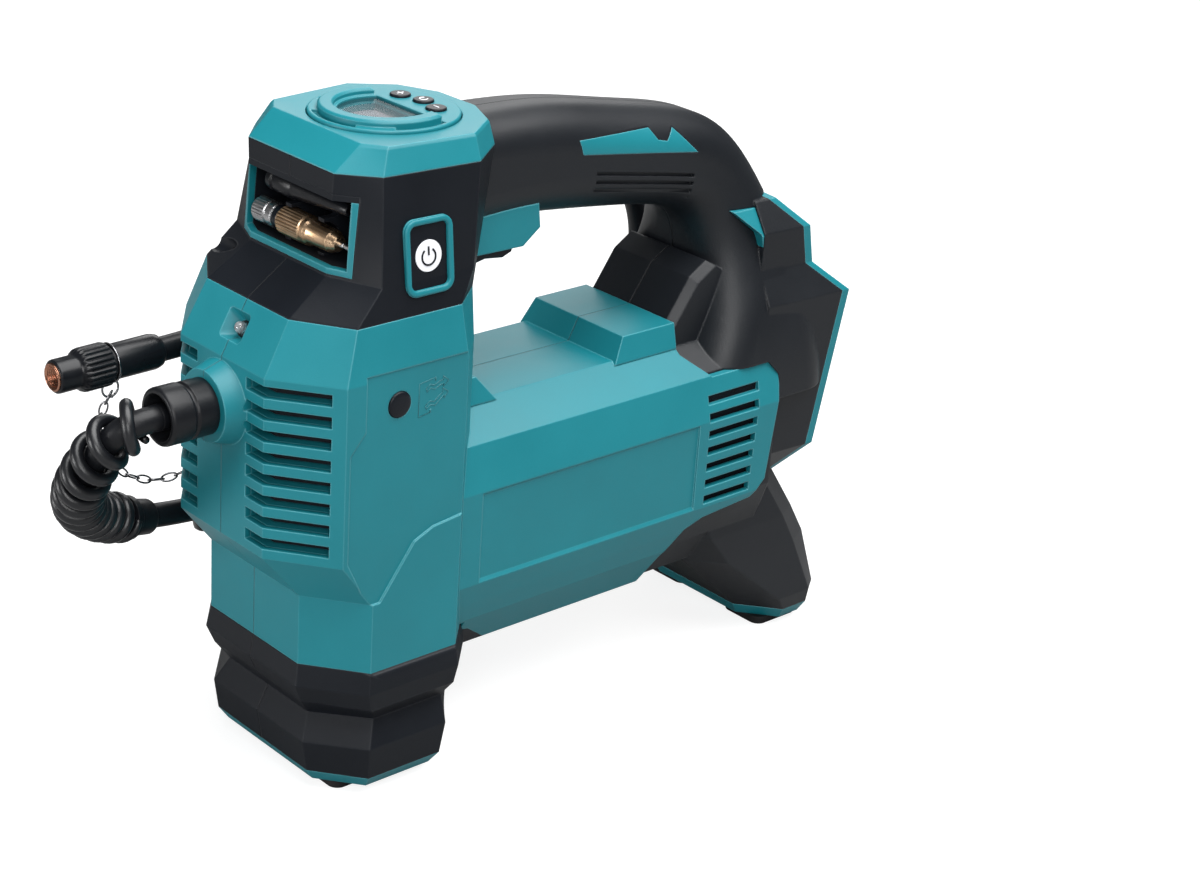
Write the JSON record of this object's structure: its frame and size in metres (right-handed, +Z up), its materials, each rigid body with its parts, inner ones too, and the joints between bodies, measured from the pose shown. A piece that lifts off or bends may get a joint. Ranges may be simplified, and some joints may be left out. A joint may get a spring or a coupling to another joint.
{
  "type": "portable tyre inflator",
  "caption": "Hand-held cordless tyre inflator with loop handle, display on its head, accessory bay, side-stored hose, clamp chuck and a rear battery socket.",
  "frame": {"origin": "on the ground, under the middle of the tool's length and width without the hose", "axes": "+X from the chest with the hose outlet towards the battery end, +Y towards the side with the stored hose, +Z up"},
  "size_m": [0.3262, 0.1156, 0.2339],
  "materials": {
    "teal_plastic": "satin moulded teal",
    "black_plastic": "fine moulded grain",
    "black_grip": "soft overmould",
    "rubber": "smooth black rubber",
    "gloss_black": "glossy black",
    "window": "clear window",
    "lcd": "grey display",
    "lens": "clear lens",
    "board": "solder mask",
    "steel": "turned steel",
    "chrome": "polished plating",
    "brass": "machined brass",
    "aluminium": "cast and turned"
  },
  "bodies": {
    "housing": {"adapter_tray": "black_plastic", "battery_frame": "teal_plastic", "bay_frame": "teal_plastic", "chuck_chain": "chrome", "control_board": "board", "cylinder": "aluminium", "display_bezel": "teal_plastic", "display_board": "board", "display_cap": "teal_plastic", "display_window": "window", "front_foot_rim": "teal_plastic", "front_pads": "rubber", "gear_bracket": "black_plastic", "guard_collar": "rubber", "handle_inlays": "teal_plastic", "hose": "rubber", "hose_end_sleeve": "rubber", "hose_guard": "rubber", "hose_nut": "rubber", "hose_sleeve": "rubber", "hose_thread": "brass", "housing_screws": "steel", "key_frame": "teal_plastic", "lcd_panel": "lcd", "led_lens": "lens", "left_front_foot": "black_plastic", "left_grip": "black_grip", "left_head": "black_plastic", "left_shell": "teal_plastic", "motor_can": "steel", "rear_foot_rim": "teal_plastic", "rear_pads": "rubber", "release_valve": "black_plastic", "right_front_foot": "black_plastic", "right_grip": "black_grip", "right_head": "black_plastic", "right_shell": "teal_plastic", "terminal_block": "black_plastic", "terminals": "brass", "trigger_guard": "teal_plastic", "trigger_switch": "black_plastic"},
    "trigger": {"trigger_lever": "black_plastic"},
    "power_key": {"power_key": "black_plastic"},
    "air_release": {"release_button": "black_plastic"},
    "plus_key": {"plus_button": "black_plastic"},
    "mode_key": {"mode_button": "black_plastic"},
    "minus_key": {"minus_button": "black_plastic"},
    "valve_adapter": {"valve_adapter": "brass", "ball_needle": "steel"},
    "nozzle": {"plastic_nozzle": "black_plastic"},
    "chuck": {"chuck_body": "gloss_black", "chuck_nose": "chrome", "chuck_pin": "steel"},
    "chuck_clamp": {"chuck_lever": "gloss_black"},
    "rotor": {"motor_rotor": "steel", "motor_pinion": "steel", "cooling_fan": "black_plastic"},
    "crank": {"crank_gear": "steel"},
    "piston": {"piston": "aluminium"},
    "con_rod": {"con_rod": "aluminium"}
  },
  "joints": [
    {"name": "trigger_pull", "type": "hinge", "parent": "housing", "child": "trigger", "pos_m": [-0.03975, -0.01085, 0.1765], "axis": [0, -1, 0], "range_deg": [0, 8], "stiffness_Nm_per_rad": 0.3, "springref_deg": -5.73},
    {"name": "power_press", "type": "slide", "parent": "housing", "child": "power_key", "axis": [0, 1, 0], "range_m": [0, 0.0008], "stiffness_N_per_m": 400, "springref_m": -0.0005},
    {"name": "air_release_press", "type": "slide", "parent": "housing", "child": "air_release", "axis": [0, 1, 0], "range_m": [0, 0.002], "stiffness_N_per_m": 400, "springref_m": -0.0005},
    {"name": "plus_press", "type": "slide", "parent": "housing", "child": "plus_key", "axis": [0, 0, -1], "range_m": [0, 0.0008], "stiffness_N_per_m": 300, "springref_m": -0.0005},
    {"name": "mode_press", "type": "slide", "parent": "housing", "child": "mode_key", "axis": [0, 0, -1], "range_m": [0, 0.0008], "stiffness_N_per_m": 300, "springref_m": -0.0005},
    {"name": "minus_press", "type": "slide", "parent": "housing", "child": "minus_key", "axis": [0, 0, -1], "range_m": [0, 0.0008], "stiffness_N_per_m": 300, "springref_m": -0.0005},
    {"name": "adapter_pull", "type": "slide", "parent": "housing", "child": "valve_adapter", "axis": [-1, 0, 0], "range_m": [0, 0.04]},
    {"name": "nozzle_pull", "type": "slide", "parent": "housing", "child": "nozzle", "axis": [-1, 0, 0], "range_m": [0, 0.04]},
    {"name": "chuck_lift", "type": "slide", "parent": "housing", "child": "chuck", "axis": [0, 1, 0], "range_m": [0, 0.03]},
    {"name": "clamp_swing", "type": "hinge", "parent": "chuck", "child": "chuck_clamp", "pos_m": [-0.08875, 0.04965, 0.105], "axis": [1, 0, 0], "range_deg": [0, 75]},
    {"name": "rotor_spin", "type": "hinge", "parent": "housing", "child": "rotor", "pos_m": [-0.12875, -0.01085, 0.066], "axis": [1, 0, 0], "continuous": true},
    {"name": "crank_spin", "type": "hinge", "parent": "housing", "child": "crank", "pos_m": [-0.12875, -0.01085, 0.09], "axis": [1, 0, 0], "continuous": true},
    {"name": "piston_stroke", "type": "slide", "parent": "housing", "child": "piston", "axis": [0, 0, 1], "range_m": [0, 0.016]},
    {"name": "rod_swing", "type": "hinge", "parent": "piston", "child": "con_rod", "pos_m": [-0.06775, -0.01085, 0.112], "axis": [1, 0, 0], "range_deg": [-15, 15]}
  ],
  "couplings": [
    {"joint": "crank_spin", "follows": "rotor_spin", "ratio": -0.25}
  ]
}
